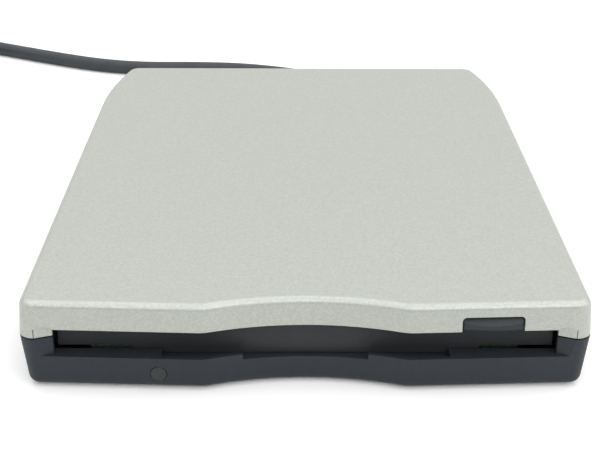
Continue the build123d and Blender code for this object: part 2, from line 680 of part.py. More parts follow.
motor_plate_r = ROTOR_RADIUS + 2.4
motor_plate_top = chassis_bottom + 0.4
rotor_top = DISK_SEAT_HEIGHT - 0.25
rotor_under = rotor_top - ROTOR_SHEET
rim_bottom = motor_plate_top + 0.3
bush_r = 2.8
magnet_outer = ROTOR_RADIUS - ROTOR_SHEET
magnet_inner = magnet_outer - MAGNET_THICK
coil_outer = magnet_inner - STATOR_GAP
coil_middle = (STATOR_INNER_R + coil_outer) / 2
coil_span = coil_outer - STATOR_INNER_R
bush_top = rotor_under - 0.15

with BuildPart() as motor_base:
    post((0, spindle_y), motor_plate_r, (chassis_bottom, motor_plate_top))
    post((0, spindle_y), bush_r, (chassis_bottom, motor_plate_top), Mode.SUBTRACT)
save(motor_base, "motor_base")

with BuildPart() as spindle_bearing:
    post((0, spindle_y), bush_r, (chassis_bottom, bush_top))
    post((0, spindle_y), SHAFT_RADIUS + PIN_GAP, (chassis_bottom, bush_top), Mode.SUBTRACT)
save(spindle_bearing, "spindle_bearing")

with BuildPart() as stator_coils:
    post((0, spindle_y), STATOR_INNER_R + 0.3, (motor_plate_top, motor_plate_top + 0.4))
    with BuildSketch(Plane.XY.offset(motor_plate_top)):
        with Locations((0, spindle_y)):
            with PolarLocations(coil_middle, STATOR_POLES):
                SlotOverall(coil_span, 4.2)
    extrude(amount=0.9)
    with BuildSketch(Plane.XY.offset(motor_plate_top + 0.4)):
        with Locations((0, spindle_y)):
            with PolarLocations(coil_middle, STATOR_POLES):
                SlotOverall(coil_span - 5.6, 1.0)
    extrude(amount=0.5, mode=Mode.SUBTRACT)
    post((0, spindle_y), bush_r, (chassis_bottom, board_top + 2), Mode.SUBTRACT)
save(stator_coils, "stator_coils")

with BuildPart() as spindle_rotor:
    post((0, spindle_y), ROTOR_RADIUS, (rim_bottom, rotor_top))
    post((0, spindle_y), magnet_outer, (rim_bottom, rotor_under), Mode.SUBTRACT)
    post((0, spindle_y), SHAFT_RADIUS, (rotor_under, rotor_top), Mode.SUBTRACT)
    with BuildSketch(Plane.XY.offset(rotor_under)):
        with Locations((0, spindle_y)):
            with PolarLocations(coil_outer - 1.8, 6):
                Circle(1.6)
    extrude(amount=ROTOR_SHEET, mode=Mode.SUBTRACT)
save(spindle_rotor, "spindle_rotor")

with BuildPart() as rotor_magnet:
    post((0, spindle_y), magnet_outer, (rim_bottom, rotor_under))
    post((0, spindle_y), magnet_inner, (rim_bottom, rotor_under), Mode.SUBTRACT)
save(rotor_magnet, "rotor_magnet")

with BuildPart() as disk_chuck:
    post((0, spindle_y), CHUCK_RADIUS, (rotor_top, CHUCK_HEIGHT))
    post((0, spindle_y), CENTRE_PIN_R, (CHUCK_HEIGHT, CHUCK_HEIGHT + 1.4))
    chamfer(disk_chuck.faces().sort_by(Axis.Z)[-1].edges(), 0.4)
    post((0, spindle_y), SHAFT_RADIUS, (chassis_bottom + 0.1, rotor_top))
    post((DRIVE_PIN_ORBIT, spindle_y), 0.6, (rotor_top, CHUCK_HEIGHT), Mode.SUBTRACT)
save(disk_chuck, "disk_chuck")

with BuildPart() as drive_pin:
    post((DRIVE_PIN_ORBIT, spindle_y), 0.6, (rotor_top, CHUCK_HEIGHT))
    post((DRIVE_PIN_ORBIT, spindle_y), DRIVE_PIN_R, (CHUCK_HEIGHT, CHUCK_HEIGHT + 1.0))
    fillet(drive_pin.faces().sort_by(Axis.Z)[-1].edges(), 0.3)
save(drive_pin, "drive_pin")

# ------------------------------------------------------------------ disk cradle and slider


def window(x, y, z, radius=1.5):
    """Rounded rectangular window through a horizontal sheet."""
    with BuildSketch(Plane.XY.offset(z[0])) as profile:
        with Locations(((x[0] + x[1]) / 2, (y[0] + y[1]) / 2)):
            RectangleRounded(x[1] - x[0], y[1] - y[0], radius)
    extrude(profile.sketch, amount=z[1] - z[0], mode=Mode.SUBTRACT)


finger_inner, finger_outer = 7.2, 10.9
wing_reach = DISK_DROP / sin(radians(ARM_LIFT))  # where the raised arm rests on the cradle
finger_rear = pivot_y - wing_reach - 0.05
flange_inner = 41.5
flare_length, flare_rise = 1.8, 0.7

with BuildPart() as disk_cradle:
    span_y = (cradle_front, cradle_rear)
    flange_bottom = cradle_floor - CRADLE_SHEET
    block((-cradle_outer, cradle_outer), span_y, (flange_bottom, cradle_top))
    block((-cradle_half, cradle_half), span_y, (cradle_floor, cradle_ceiling), Mode.SUBTRACT)
    block((-flange_inner, flange_inner), span_y, (flange_bottom, cradle_floor), Mode.SUBTRACT)
    for x in both_sides((finger_inner, finger_outer)):
        block(x, (cradle_rear, finger_rear), (cradle_ceiling, cradle_top))
    arm_slot = (head_y - HEAD_TRAVEL - 2.2, cradle_rear)
    block((-finger_inner, finger_inner), arm_slot, (cradle_ceiling, cradle_top), Mode.SUBTRACT)
    tip_x = trigger_x + TRIGGER_REACH * cos(radians(TRIGGER_REST))
    tip_y = trigger_y + TRIGGER_REACH * sin(radians(TRIGGER_REST))
    block((tip_x - 2, tip_x + 13), (tip_y - 2, cradle_rear), (cradle_ceiling, cradle_top), Mode.SUBTRACT)
    window((-22, 22), (spindle_y - 22, spindle_y + 2), (cradle_ceiling, cradle_top), 4)
    with BuildSketch(Plane((-cradle_half, 0, 0), x_dir=(0, 1, 0), z_dir=(1, 0, 0))):
        with BuildLine():
            Polyline(
                (cradle_front, cradle_ceiling),
                (cradle_front - flare_length, cradle_ceiling + flare_rise),
                (cradle_front - flare_length, cradle_ceiling + flare_rise + CRADLE_SHEET),
                (cradle_front, cradle_top),
                close=True,
            )
        make_face()
    extrude(amount=2 * cradle_half)
    for side in (-1, 1):
        for y in pin_places:
            pin = sorted((side * cradle_outer, side * chassis_outer))
            bar_x(y, pin_height, PIN_RADIUS, pin)
save(disk_cradle, "disk_cradle")

slider_front = door_face + 12.9
slider_rear = disk_rear + 3.1
latch_x = (trigger_x - 6.2, trigger_x - 4.3)  # tab that the trigger lever's hook holds back
latch_front = slider_rear - 0.6
eject_arm = ((NOTCH_LEFT + notch_right) / 2 - 3, (NOTCH_LEFT + notch_right) / 2 + 3)
button_back = front + FRONT_SWEEP / 2 + BUTTON_DEPTH + 0.1

with BuildPart() as eject_slider:
    plate = (slider_bottom, slider_top)
    block((-slider_outer, slider_outer), (slider_front, slider_rear), plate)
    for x in both_sides((slider_half, slider_outer)):
        block(x, (slider_front + 2, disk_rear - 6.9), (4.95, slider_top))
    block(eject_arm, (button_back, slider_front), plate)
    block((-12.5, 12.5), (head_y - HEAD_TRAVEL - 7.0, slider_rear), plate, Mode.SUBTRACT)
    for x in both_sides((18, 38)):
        window(x, (slider_front + 8, slider_front + 34), plate, 3)
        window(x, (slider_front + 42, slider_front + 72), plate, 3)
    for x in (-slider_half, slider_half):
        side_wall_cut(pin_places, PIN_RADIUS + PIN_GAP, DISK_DROP, EJECT_TRAVEL, x)
    for x in both_sides((chassis_half - 4.4, chassis_half - 1.4)):
        block(x, (slider_front - 0.1, slider_front + 0.5), (slider_bottom, chassis_top - 0.2))
    block(latch_x, (latch_front, slider_rear), (trigger_bottom, slider_bottom))
save(eject_slider, "eject_slider")

button_x = (NOTCH_LEFT + BUTTON_GAP, notch_right - BUTTON_GAP)
button_z = (door_axis_height + DOOR_BARREL_R - 0.15, notch_top - BUTTON_GAP)
button_front = front + FRONT_SWEEP / 2 + 0.1

with BuildPart() as eject_button:
    with BuildSketch(Plane.XY.offset(button_z[0])):
        with BuildLine():
            middle_x = (button_x[0] + button_x[1]) / 2
            left_end, right_end = ((x, button_front + BUTTON_BOW) for x in button_x)
            ThreePointArc(left_end, (middle_x, button_front), right_end)
            Polyline(right_end, (button_x[1], button_back), (button_x[0], button_back), left_end)
        make_face()
    extrude(amount=button_z[1] - button_z[0])
    long_edges = eject_button.edges().filter_by(Axis.Y).group_by(Axis.Z)[-1]
    fillet(long_edges, BUTTON_CORNER_R)
    with BuildSketch(Plane((button_x[0] - 1, 0, 0), x_dir=(0, 1, 0), z_dir=(1, 0, 0))):
        with BuildLine():
            Polyline(
                (button_front - 1, button_z[1] + 1),
                (button_front - 1, button_z[1] - BUTTON_CHAMFER - 0.35),
                (button_front, button_z[1] - BUTTON_CHAMFER),
                (button_front + 1.5, button_z[1]),
                (button_front + 1.5, button_z[1] + 1),
                close=True,
            )
        make_face()
    extrude(amount=button_x[1] - button_x[0] + 2, mode=Mode.SUBTRACT)
    edges = eject_button.edges().filter_by(Axis.Z).group_by(Axis.Y)[0]
    fillet(edges, 0.4)
save(eject_button, "eject_button")

spring_y = (chassis_front + 1.6, slider_front - 0.1)
spring_height = slider_bottom + 0.85
with BuildPart() as slider_springs:
    for x in (-(chassis_half - 2.9), chassis_half - 2.9):
        anchor = Plane((x, spring_y[0], spring_height), x_dir=(1, 0, 0), z_dir=(0, 0, 1))
        coil_spring(anchor, spring_y[1] - spring_y[0], 0.45, 0.15)
save(slider_springs, "slider_springs")

# ------------------------------------------------------------------ trigger lever


def toward(angle, reach):
    """Point at a distance and direction from the trigger lever's pivot."""
    return (trigger_x + reach * cos(radians(angle)), trigger_y + reach * sin(radians(angle)))


with BuildPart() as trigger_lever:
    hook_tip = (latch_x[1] + 0.4, latch_front - 1.3)
    with BuildSketch(Plane.XY.offset(trigger_bottom)):
        for tip, width in ((toward(TRIGGER_REST, TRIGGER_REACH), 2.0), (hook_tip, 0.9)):
            with BuildLine():
                Line((trigger_x, trigger_y), tip)
            trace(line_width=2 * width)
            with Locations(tip):
                Circle(width)
        with Locations((latch_x[1], latch_front - 1.3)):
            Rectangle(2.2, 2.0)
        with Locations((trigger_x, trigger_y)):
            Circle(TRIGGER_HUB_R)
            Circle(TRIGGER_PIN_R + PIN_GAP, mode=Mode.SUBTRACT)
    extrude(amount=TRIGGER_THICK)
    tip_bottom = cradle_floor + 0.5
    post(toward(TRIGGER_REST, TRIGGER_REACH), 0.9, (tip_bottom, trigger_bottom))
save(trigger_lever, "trigger_lever")

# ------------------------------------------------------------------ dust door

with BuildPart() as slot_door:
    with BuildSketch(Plane((0, door_face, 0), x_dir=(1, 0, 0), z_dir=(0, -1, 0))):
        with BuildLine():
            Polyline(
                (-door_half, door_axis_height),
                (-door_half, DOOR_END_BOTTOM),
                (-door_step_outer, DOOR_END_BOTTOM),
                (-DOOR_STEP_INNER, DOOR_MID_BOTTOM),
                (DOOR_STEP_INNER, DOOR_MID_BOTTOM),
                (door_step_outer, DOOR_END_BOTTOM),
                (door_half, DOOR_END_BOTTOM),
                (door_half, door_axis_height),
                close=True,
            )
        make_face()
    extrude(amount=-DOOR_THICK)
    bar_x(door_axis_y, door_axis_height, DOOR_BARREL_R, (-door_half, door_half))
    bar_x(door_axis_y, door_axis_height, DOOR_PIN_R, (-chassis_outer, chassis_outer))
save(slot_door, "slot_door")

with BuildPart() as door_spring:
    gap = (door_half + 0.1, chassis_half)
    anchor = Plane((gap[0], door_axis_y, door_axis_height), x_dir=(0, -1, 0), z_dir=(0, 0, 1))
    coil_spring(anchor, gap[1] - gap[0], 0.75, 0.15)
save(door_spring, "door_spring")

# ------------------------------------------------------------------ activity light

light_face = front_face(LIGHT_X) + (SPLIT_HEIGHT - LIGHT_HEIGHT) * tan(radians(TRAY_DRAFT))
lens_back = light_face + 2.2
with BuildPart() as led_lens:
    bar_y(LIGHT_X, LIGHT_HEIGHT, LENS_RADIUS, (light_face - 0.1, lens_back))
    fillet(led_lens.faces().sort_by(Axis.Y)[0].edges(), 0.25)
save(led_lens, "led_lens")

with BuildPart() as activity_led:
    bar_y(LIGHT_X, LIGHT_HEIGHT, LED_RADIUS, (lens_back, lens_back + 3.6))
    for x in (LIGHT_X - 0.7, LIGHT_X + 0.7):
        block((x - 0.2, x + 0.2), (lens_back + 3.6, board_front + 1.5), (board_top, board_top + 0.4))
save(activity_led, "activity_led")

# ------------------------------------------------------------------ boards

with BuildPart() as control_board:
    block((-board_half, board_half), (board_front, board_rear), (chassis_floor_top, board_top))
    post((0, spindle_y), ROTOR_RADIUS + 0.8, (chassis_floor_top, board_top), Mode.SUBTRACT)
    for place in board_posts:
        post(place, BOARD_SCREW_R + 0.1, (chassis_floor_top, board_top), Mode.SUBTRACT)
    for place in chassis_screw_places[:2]:
        post(place, 2.0, (chassis_floor_top, board_top), Mode.SUBTRACT)
save(control_board, "control_board")

chips = [(-CHIP_X, board_rear - 14.5, 7.0), (CHIP_X, board_rear - 20.5, 9.0), (-12.0, board_front + 5, 4.0)]
with BuildPart() as controller_chips:
    for x, y, size in chips:
        side_x, side_y = (x - size / 2, x + size / 2), (y - size / 2, y + size / 2)
        block(side_x, side_y, (board_top, board_top + CHIP_HEIGHT))
save(controller_chips, "controller_chips")

with BuildPart() as media_switches:
    for x in (-SWITCH_X, -SWITCH_X + SWITCH_PITCH, SWITCH_X):
        y = board_front + 7
        block((x - 1.75, x + 1.75), (y - 1.5, y + 1.5), (board_top, board_top + 1.0))
        post((x, y), 0.6, (board_top + 1.0, board_top + 2.0))
save(media_switches, "media_switches")

with BuildPart() as bridge_board:
    block((bridge_left, bridge_right), (bridge_front, bridge_rear), (bridge_bottom, bridge_top))
    for place in bridge_posts:
        post(place, BOARD_SCREW_R + 0.1, (bridge_bottom, bridge_top), Mode.SUBTRACT)
save(bridge_board, "bridge_board")

chip_x = (bridge_left + 7, bridge_left + 7 + BRIDGE_CHIP_SIZE)
chip_y = (bridge_front + 7, bridge_front + 7 + BRIDGE_CHIP_SIZE)
with BuildPart() as bridge_chip:
    block(chip_x, chip_y, (bridge_top, bridge_top + 1.0))
    post((chip_x[0] + 1, chip_y[0] + 1), 0.4, (bridge_top + 0.9, bridge_top + 1.0), Mode.SUBTRACT)
save(bridge_chip, "bridge_chip")

with BuildPart() as board_screws:
    for place in bridge_posts:
        screw(place, bridge_top, BOARD_SCREW_R, 1.6, 1.3, 0.5, up=False)
    for place in board_posts:
        screw(place, board_top, BOARD_SCREW_R, 1.2, 1.3, 0.4, up=False)
save(board_screws, "board_screws")

ribbon = (bridge_left + RIBBON_FROM_LEFT, bridge_right - RIBBON_FROM_RIGHT)
socket_depth = 3.0
board_socket = (board_rear - 0.2 - socket_depth, board_rear - 0.2)
bridge_socket = (bridge_front + 0.3, bridge_front + 0.3 + socket_depth)
with BuildPart() as ribbon_sockets:
    block((ribbon[0] - 1, ribbon[1] + 1), board_socket, (board_top, board_top + 1.0))
    block((ribbon[0] - 1, ribbon[1] + 1), bridge_socket, (bridge_top, bridge_top + 1.3))
save(ribbon_sockets, "ribbon_sockets")

with BuildPart() as ribbon_cable:
    low = chassis_floor_top + 0.1
    with BuildSketch(Plane((ribbon[0], 0, 0), x_dir=(0, 1, 0), z_dir=(1, 0, 0))):
        with BuildLine():
            Polyline(
                (board_socket[1], board_top + 0.3),
                (board_socket[1] + 1.5, board_top + 0.3),
                (board_socket[1] + 3.5, low),
                (bridge_front - 6, low),
                (bridge_front - 1.5, bridge_top + 0.4),
                (bridge_socket[0], bridge_top + 0.4),
            )
        trace(line_width=0.2)
    extrude(amount=ribbon[1] - ribbon[0])
save(ribbon_cable, "ribbon_cable")

# ------------------------------------------------------------------ head carriage and stepper

with BuildPart() as guide_rods:
    for x in (LEFT_ROD_X, RIGHT_ROD_X):
        bar_y(x, ROD_HEIGHT, ROD_RADIUS, (rod_front, rod_rear))
save(guide_rods, "guide_rods")

arm_half = 3.4
post_inner, post_outer = 4.7, 6.4
with BuildPart() as head_carriage:
    block((LEFT_ROD_X - 2.2, RIGHT_ROD_X + 2.0), carriage_y, (3.2, 6.2))
    block((-arm_half, arm_half), (head_y - 1.6, carriage_y[0]), (3.4, 4.6))
    for x in both_sides((post_inner, post_outer)):
        block(x, (pivot_y - 1.6, pivot_y + 1.6), (6.2, ARM_PIVOT_HEIGHT + 1.2))
    nut = (pivot_y + 1.3, pivot_y + 3.7)
    block((SCREW_X - 2.0, LEFT_ROD_X - 2.2), nut, (5.2, SCREW_HEIGHT + 2.2))
    block((SCREW_X - 2.0, -post_outer), nut, (5.2, 6.2))
    bar_y(SCREW_X, SCREW_HEIGHT, SCREW_RADIUS + PIN_GAP, nut, Mode.SUBTRACT)
    bar_y(LEFT_ROD_X, ROD_HEIGHT, ROD_RADIUS + PIN_GAP, carriage_y, Mode.SUBTRACT)
    slot_z = (ROD_HEIGHT - ROD_RADIUS - PIN_GAP, ROD_HEIGHT + ROD_RADIUS + PIN_GAP)
    block((RIGHT_ROD_X - 1.2, RIGHT_ROD_X + 3), carriage_y, slot_z, Mode.SUBTRACT)
    block((-0.4, 0.4), (carriage_y[1], carriage_y[1] + 3), (5.0, 6.0))
    bar_x(pivot_y, ARM_PIVOT_HEIGHT, 0.5 + PIN_GAP, (-post_outer, post_outer), Mode.SUBTRACT)
save(head_carriage, "head_carriage")

with BuildPart() as lower_head:
    block((-2.4, 2.4), (head_y - 1.5, head_y + 1.5), (4.6, 6.1))
    block((-1.3, 1.3), (head_y - 0.9, head_y + 0.9), (6.1, 6.5))
save(lower_head, "lower_head")

arm_sheet = 0.5
raised = Plane((0, pivot_y, ARM_PIVOT_HEIGHT), x_dir=(1, 0, 0), z_dir=(0, 0, 1)).rotated((-ARM_LIFT, 0, 0))
upper_head_drop = ARM_PIVOT_HEIGHT - 6.6


def on_arm(x, reach, z, mode=Mode.ADD):
    """Box fixed to the upper arm: X span, reach ahead of the pivot, height from the arm's mid plane."""
    with BuildSketch(raised.offset(z[0])) as profile:
        with Locations(((x[0] + x[1]) / 2, -(reach[0] + reach[1]) / 2)):
            Rectangle(x[1] - x[0], reach[1] - reach[0])
    extrude(profile.sketch, amount=z[1] - z[0], mode=mode)


with BuildPart() as upper_head_arm:
    bar_x(pivot_y, ARM_PIVOT_HEIGHT, 1.1, (-post_inner + 0.1, post_inner - 0.1))
    bar_x(pivot_y, ARM_PIVOT_HEIGHT, 0.5, (-post_outer, post_outer))
    on_arm((-4, 4), (0, ARM_LENGTH + 1.5), (-arm_sheet / 2, arm_sheet / 2))
    on_arm((-10.6, 10.6), (wing_reach, wing_reach + 2.3), (-arm_sheet / 2, arm_sheet / 2))
    on_arm((-1.2, 1.2), (3, ARM_LENGTH - 2), (arm_sheet / 2, arm_sheet / 2 + 0.3))
save(upper_head_arm, "upper_head_arm")

with BuildPart() as upper_head:
    on_arm((-2.4, 2.4), (ARM_LENGTH - 1.5, ARM_LENGTH + 1.5), (-upper_head_drop + 0.4, -arm_sheet / 2))
    on_arm((-1.3, 1.3), (ARM_LENGTH - 0.9, ARM_LENGTH + 0.9), (-upper_head_drop, -upper_head_drop + 0.4))
save(upper_head, "upper_head")

with BuildPart() as stepper_motor:
    can = (stepper_front, stepper_front + STEPPER_LENGTH)
    bar_y(SCREW_X, SCREW_HEIGHT, STEPPER_RADIUS, can)
    chamfer(stepper_motor.edges().filter_by(GeomType.CIRCLE), 0.4)
    bar_y(SCREW_X, SCREW_HEIGHT, 1.8, (can[0] - 0.4, can[0]))
    bar_y(SCREW_X, SCREW_HEIGHT, 0.8 + PIN_GAP, (can[0] - 0.4, can[0] + 3), Mode.SUBTRACT)
    block((SCREW_X - 3, SCREW_X + 3), (can[0] + 2, can[1] - 1), (chassis_floor_top, SCREW_HEIGHT - 4))
save(stepper_motor, "stepper_motor")

with BuildPart() as lead_screw:
    thread = (screw_bracket_y + 0.9, stepper_front - 0.5)
    bar_y(SCREW_X, SCREW_HEIGHT, SCREW_RADIUS, thread)
    chamfer(lead_screw.edges().filter_by(GeomType.CIRCLE), 0.2)
    bar_y(SCREW_X, SCREW_HEIGHT, 0.6, (screw_bracket_y, thread[0]))
    bar_y(SCREW_X, SCREW_HEIGHT, 0.8, (thread[1], stepper_front + 2.5))
save(lead_screw, "lead_screw")

sensor_y = (carriage_y[1] + 0.6, carriage_y[1] + 3.6)
with BuildPart() as track_sensor:
    block((-3, 3), sensor_y, (chassis_floor_top, 7.2))
    block((-1, 1), sensor_y, (4.6, 7.2), Mode.SUBTRACT)
save(track_sensor, "track_sensor")

# ------------------------------------------------------------------ captive lead

rear_wall_inner = rear - CASE_WALL
gland_end = rear + GLAND_LENGTH
gland_flange = (rear_wall_inner - 2.2, rear_wall_inner - 1.0)
with BuildPart() as cord_gland:
    bar_y(GLAND_X, GLAND_HEIGHT, GLAND_FLANGE_R, gland_flange)
    bar_y(GLAND_X, GLAND_HEIGHT, GLAND_NECK_R, (gland_flange[1], rear))
    for y, radius in ((rear, GLAND_COLLAR_R), (gland_end, CORD_RADIUS + 0.4)):
        with BuildSketch(Plane((GLAND_X, y, GLAND_HEIGHT), x_dir=(1, 0, 0), z_dir=(0, 1, 0))):
            Circle(radius)
    loft()
save(cord_gland, "cord_gland")

header_x = (bridge_left + 1.5, bridge_left + 11.5)
header_y = (bridge_rear - 5, bridge_rear - 1)
with BuildPart() as lead_header:
    block(header_x, header_y, (bridge_top, bridge_top + 4.0))
save(lead_header, "lead_header")

with BuildPart() as lead_wires:
    turn_y = (header_y[0] + header_y[1]) / 2
    wires_start = (GLAND_X, gland_flange[0], GLAND_HEIGHT)
    wires_end = (header_x[0], turn_y, GLAND_HEIGHT)
    with BuildLine() as wires_path:
        FilletPolyline(wires_start, (GLAND_X, turn_y, GLAND_HEIGHT), wires_end, radius=3.0)
    with BuildSketch(wires_path.line ^ 0):
        Circle(1.1)
    sweep()
save(lead_wires, "lead_wires")

floor_axis = CORD_RADIUS + FLOOR_GAP
outer_turn_r = COIL_MEAN_R + (COIL_TURNS_WIDE - 1) * CORD_RADIUS
join_angle = radians(JOIN_DEGREES)
lead_route = [
    (GLAND_X, gland_end, GLAND_HEIGHT),
    (GLAND_X, 89.5, GLAND_HEIGHT),
    (7.2, 100.0, 4.6),
    (0.5, 108.9, 2.6),
    (-9.2, 114.3, floor_axis),
    (-20.5, 117.4, floor_axis),
    (-35.0, 118.3, floor_axis),
    (-51.0, 118.0, floor_axis),
    (-65.0, 121.4, floor_axis),
    (-79.0, 127.9, floor_axis),
    (-94.0, 135.8, floor_axis),
    (-111.5, 145.3, floor_axis),
    (
        COIL_CENTRE[0] + outer_turn_r * cos(join_angle),
        COIL_CENTRE[1] + outer_turn_r * sin(join_angle),
        floor_axis,
    ),
]
tail_x = COIL_CENTRE[0] - outer_turn_r
tail_top = floor_axis + 2 * CORD_RADIUS * (COIL_TURNS_HIGH - 1)
plug_axis = PLUG_THICK / 2
tail_route = [
    (tail_x, COIL_CENTRE[1], tail_top),
    (tail_x, COIL_CENTRE[1] - 11.0, tail_top),
    (tail_x, COIL_CENTRE[1] - 22.0, plug_axis),
    (tail_x, COIL_CENTRE[1] - 30.0, plug_axis),
]


def bend_radii(route):
    """Arc radius at each inner point: the arc uses 0.45 of the shorter run beside it."""
    radii = []
    for before, here, after in zip(route, route[1:], route[2:]):
        came, goes = Vector(*here) - Vector(*before), Vector(*after) - Vector(*here)
        half_turn = radians(came.get_angle(goes)) / 2
        radii.append(0.45 * min(came.length, goes.length) / tan(half_turn))
    return radii


def cord_tube(route, name):
    """Round tube along straight runs joined by tangent arcs."""
    radii = bend_radii(route)
    with BuildPart() as tube:
        with BuildLine() as path:
            FilletPolyline(*route, radius=radii)
        with BuildSketch(path.line ^ 0):
            Circle(CORD_RADIUS)
        sweep()
    length = path.wires()[0].length
    expected = pi * CORD_RADIUS**2 * length
    print(name, "length", round(length, 1), "radii", [round(r) for r in radii])
    print(name, "volume", round(tube.part.volume), "expected", round(expected))
    save(tube, name)
    return length


cord_length = cord_tube(lead_route, "lead_cord") + cord_tube(tail_route, "lead_tail")

coil_width = 2 * CORD_RADIUS * COIL_TURNS_WIDE
coil_height = 2 * CORD_RADIUS * COIL_TURNS_HIGH
with BuildPart() as lead_coil:
    with BuildSketch(Plane((*COIL_CENTRE, 0), x_dir=(1, 0, 0), z_dir=(0, -1, 0))):
        with Locations((COIL_MEAN_R, FLOOR_GAP + coil_height / 2)):
            RectangleRounded(coil_width, coil_height, CORD_RADIUS * 0.9)
    revolve(axis=Axis((*COIL_CENTRE, 0), (0, 0, 1)))
save(lead_coil, "lead_coil")
turn_count = COIL_TURNS_WIDE * COIL_TURNS_HIGH - 1 + (180 - JOIN_DEGREES) / 360
lead_length = cord_length + turn_count * 2 * pi * COIL_MEAN_R
print("whole lead about", round(lead_length), "mm, turns in the coil", round(turn_count, 2))

# ------------------------------------------------------------------ plug

plug_back = tail_route[-1][1]
body_back = plug_back - PLUG_RELIEF_LENGTH
body_front = body_back - PLUG_BODY_LENGTH
shell_front = body_front - PLUG_SHELL_LENGTH


def plug_plane(y):
    """Section plane across the plug, facing its mouth."""
    return Plane((tail_x, y, plug_axis), x_dir=(-1, 0, 0), z_dir=(0, -1, 0))


with BuildPart() as plug_body:
    with BuildSketch(plug_plane(plug_back)):
        RectangleRounded(7.0, 6.0, 2.6)
    with BuildSketch(plug_plane(body_back)):
        RectangleRounded(PLUG_WIDTH - 2.0, PLUG_THICK - 1.0, 2.6)
    loft()
    with BuildSketch(plug_plane(body_back)):
        RectangleRounded(PLUG_WIDTH, PLUG_THICK, 2.0)
    extrude(amount=PLUG_BODY_LENGTH)
    ends = plug_body.edges().group_by(Axis.Y)
    chamfer(ends[0], 0.6)
save(plug_body, "plug_body")

with BuildPart() as plug_shell:
    with BuildSketch(plug_plane(body_front)):
        RectangleRounded(PLUG_SHELL_WIDTH, PLUG_SHELL_THICK, 0.5)
        offset(amount=-PLUG_SHEET, mode=Mode.SUBTRACT)
    extrude(amount=PLUG_SHELL_LENGTH)
    window_y = (shell_front + 5.4, shell_front + 7.9)
    for x in (tail_x - 2.6, tail_x + 2.6):
        block((x - 1.15, x + 1.15), window_y, (plug_axis - 4, plug_axis + 4), Mode.SUBTRACT)
save(plug_shell, "plug_shell")

with BuildPart() as plug_tongue:
    half = PLUG_SHELL_WIDTH / 2 - PLUG_SHEET - 0.25
    low = plug_axis - PLUG_SHELL_THICK / 2 + PLUG_SHEET
    block((tail_x - half, tail_x + half), (shell_front + 0.6, body_front), (low, low + 1.9))
save(plug_tongue, "plug_tongue")
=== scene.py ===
"""Looks of a slim external floppy disk drive: painted cover on a charcoal tray,
a dust door and eject button in the scalloped front, and a captive lead."""
import json
import math

import bpy
import numpy as np
from mathutils import Matrix, Vector


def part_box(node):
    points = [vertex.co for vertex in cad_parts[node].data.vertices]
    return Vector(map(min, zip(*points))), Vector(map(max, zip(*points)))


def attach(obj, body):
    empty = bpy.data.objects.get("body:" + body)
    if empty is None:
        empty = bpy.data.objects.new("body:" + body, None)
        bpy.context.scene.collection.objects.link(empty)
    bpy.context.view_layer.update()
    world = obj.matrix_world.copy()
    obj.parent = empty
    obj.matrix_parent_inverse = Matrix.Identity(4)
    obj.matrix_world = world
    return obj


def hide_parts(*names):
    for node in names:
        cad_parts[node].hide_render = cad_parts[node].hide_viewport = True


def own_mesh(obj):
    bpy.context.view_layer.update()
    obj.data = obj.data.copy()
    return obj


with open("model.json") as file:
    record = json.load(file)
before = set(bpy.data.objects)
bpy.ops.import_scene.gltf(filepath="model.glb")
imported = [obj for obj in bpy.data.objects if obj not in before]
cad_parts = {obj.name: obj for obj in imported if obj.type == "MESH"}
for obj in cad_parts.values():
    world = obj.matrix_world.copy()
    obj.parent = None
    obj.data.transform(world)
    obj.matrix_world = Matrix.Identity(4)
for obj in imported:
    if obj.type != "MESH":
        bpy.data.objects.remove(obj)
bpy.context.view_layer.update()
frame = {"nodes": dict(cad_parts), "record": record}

nodes = frame["nodes"]
bpy.context.scene.view_settings.view_transform = "Standard"


# ---------------------------------------------------------------- camera
CAMERA_PLACE = (-0.002487, -0.258796, 0.122163)
CAMERA_TURN = (0.01069, 0.438365, 0.005891)  # yaw to the right, pitch down and roll, in radians
LENS_MM = 72.11


def aim_camera():
    """A long lens in front of and above the drive, tilted down 25 degrees."""
    yaw, pitch, roll = CAMERA_TURN
    level = math.cos(pitch)
    ahead = Vector((math.sin(yaw) * level, math.cos(yaw) * level, -math.sin(pitch)))
    level_right = Vector((math.cos(yaw), -math.sin(yaw), 0.0))
    level_up = level_right.cross(ahead)
    right = level_right * math.cos(roll) + level_up * math.sin(roll)
    up = level_up * math.cos(roll) - level_right * math.sin(roll)
    place = Matrix((right, up, -ahead)).transposed().to_4x4()
    place.translation = CAMERA_PLACE
    eye = bpy.data.objects.new("camera", bpy.data.cameras.new("camera"))
    eye.data.lens = LENS_MM
    eye.data.sensor_width = 36.0
    eye.data.clip_start = 0.01
    eye.matrix_world = place
    bpy.context.scene.collection.objects.link(eye)
    bpy.context.scene.camera = eye


aim_camera()


# ---------------------------------------------------------------- finishes
def set_span(ramp, start, stop, low, high):
    """Has a Map Range node run from low at start to high at stop."""
    ends = {"From Min": start, "From Max": stop, "To Min": low, "To Max": high}
    for socket, value in ends.items():
        ramp.inputs[socket].default_value = value


